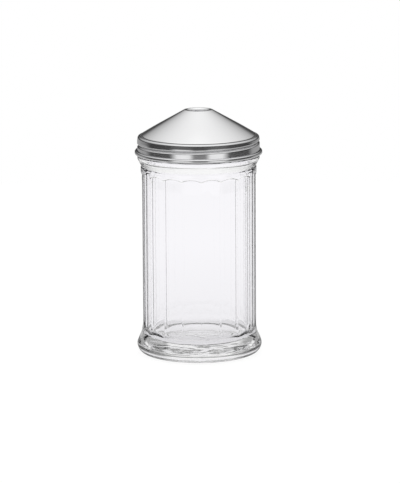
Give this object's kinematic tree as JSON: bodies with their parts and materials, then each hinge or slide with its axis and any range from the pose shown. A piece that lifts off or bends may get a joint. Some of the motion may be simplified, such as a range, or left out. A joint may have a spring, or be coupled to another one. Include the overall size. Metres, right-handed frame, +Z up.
{
  "type": "centre-pour table shaker",
  "caption": "Clear glass table shaker with flat side panels and a conical screw-on steel lid that pours through one hole at its tip.",
  "frame": {"origin": "centre of the jar's foot, on the table", "axes": "+Z up along the jar's axis; -Y is the front, where one corner between two side panels points"},
  "size_m": [0.0762, 0.0762, 0.1476],
  "materials": {
    "clear_glass": "clear pressed glass, fire-polished",
    "satin_steel": "bright stainless, fine rolling and turning marks",
    "polished_steel": "polished stainless",
    "liner_plastic": "soft white plastic"
  },
  "bodies": {
    "jar": {"glass_jar": "clear_glass"},
    "liner": {"lid_liner": "liner_plastic"},
    "lid": {"screw_band": "satin_steel", "pour_cone": "polished_steel"}
  },
  "joints": [
    {"name": "lid_lift", "type": "slide", "parent": "jar", "child": "liner", "axis": [0, 0, 1], "range_m": [0, 0.0128]},
    {"name": "lid_turn", "type": "hinge", "parent": "liner", "child": "lid", "pos_m": [0, 0, 0.1304], "axis": [0, 0, 1], "range_deg": [0, 1080]}
  ],
  "couplings": [
    {"joint": "lid_lift", "follows": "lid_turn", "m_per_rad": 0.00067376}
  ]
}
